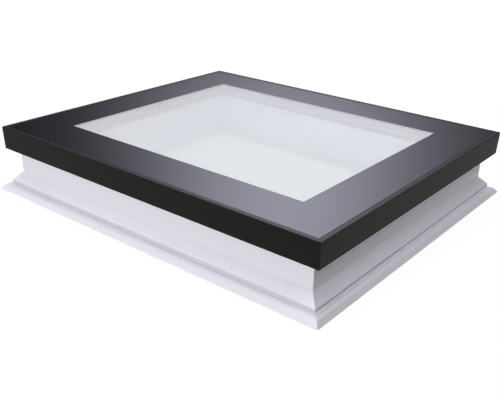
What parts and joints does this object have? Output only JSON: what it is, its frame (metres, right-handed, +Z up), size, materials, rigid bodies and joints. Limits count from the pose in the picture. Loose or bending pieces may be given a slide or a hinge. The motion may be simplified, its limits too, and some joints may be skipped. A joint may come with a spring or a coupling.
{
  "type": "roof skylight",
  "caption": "Rectangular flat roof skylight: white hollow curb with a flared base, hinged sash with a dark metal edge trim and dark-bordered glass, lifted by drives hidden in the curb.",
  "frame": {"origin": "centre of the curb's base, on the roof surface it stands on", "axes": "+Z up, X along the front and back sides, +Y towards the hinged back side"},
  "size_m": [1.028, 0.888, 0.175],
  "materials": {
    "white_pvc": "smooth extruded white plastic, satin",
    "insulation_foam": "expanded foam",
    "dark_trim": "powder coated, fine matt",
    "clear_glass": "polished float glass",
    "dark_enamel": "fired ceramic enamel behind glass",
    "grey_spacer": "warm edge spacer",
    "edge_sealant": "sealant",
    "black_rubber": "extruded rubber",
    "grey_rubber": "light extruded rubber",
    "zinc_steel": "zinc plated",
    "drive_casing": "grey coated casting",
    "white_nylon": "moulded"
  },
  "bodies": {
    "curb": {"curb_front": "white_pvc", "curb_back": "white_pvc", "curb_left": "white_pvc", "curb_right": "white_pvc", "insulation_front": "insulation_foam", "insulation_back": "insulation_foam", "insulation_left": "insulation_foam", "insulation_right": "insulation_foam", "weather_seal": "black_rubber", "inner_seal": "grey_rubber", "cable_gland": "white_nylon", "hinge_curb_leaves": "zinc_steel", "hinge_pins": "zinc_steel", "hinge_curb_screws": "zinc_steel", "drive_unit_left": "drive_casing", "drive_unit_right": "drive_casing", "drive_screws": "zinc_steel"},
    "sash": {"sash_front": "white_pvc", "sash_back": "white_pvc", "sash_left": "white_pvc", "sash_right": "white_pvc", "trim_front": "dark_trim", "trim_back": "dark_trim", "trim_left": "dark_trim", "trim_right": "dark_trim", "trim_corner_keys": "zinc_steel", "outer_pane": "clear_glass", "enamel_border": "dark_enamel", "upper_spacer": "grey_spacer", "upper_edge_seal": "edge_sealant", "middle_pane": "clear_glass", "lower_spacer": "grey_spacer", "lower_edge_seal": "edge_sealant", "inner_pane": "clear_glass", "bedding_seal": "edge_sealant", "glazing_gasket": "grey_rubber", "glazing_blocks": "white_nylon", "hinge_sash_leaves": "zinc_steel", "hinge_sash_screws": "zinc_steel", "sash_brackets": "zinc_steel", "bracket_screws": "zinc_steel"},
    "racks": {"lift_rack_left": "zinc_steel", "lift_rack_right": "zinc_steel", "rack_pins": "zinc_steel"}
  },
  "joints": [
    {"name": "sash_hinge", "type": "hinge", "parent": "curb", "child": "sash", "pos_m": [0, 0.413, 0.121], "axis": [-1, 0, 0], "range_deg": [0, 10]},
    {"name": "rack_slide", "type": "slide", "parent": "curb", "child": "racks", "axis": [0, 0, 1], "range_m": [0, 0.0726]}
  ],
  "couplings": [
    {"joint": "rack_slide", "follows": "sash_hinge", "m_per_rad": 0.4152}
  ]
}
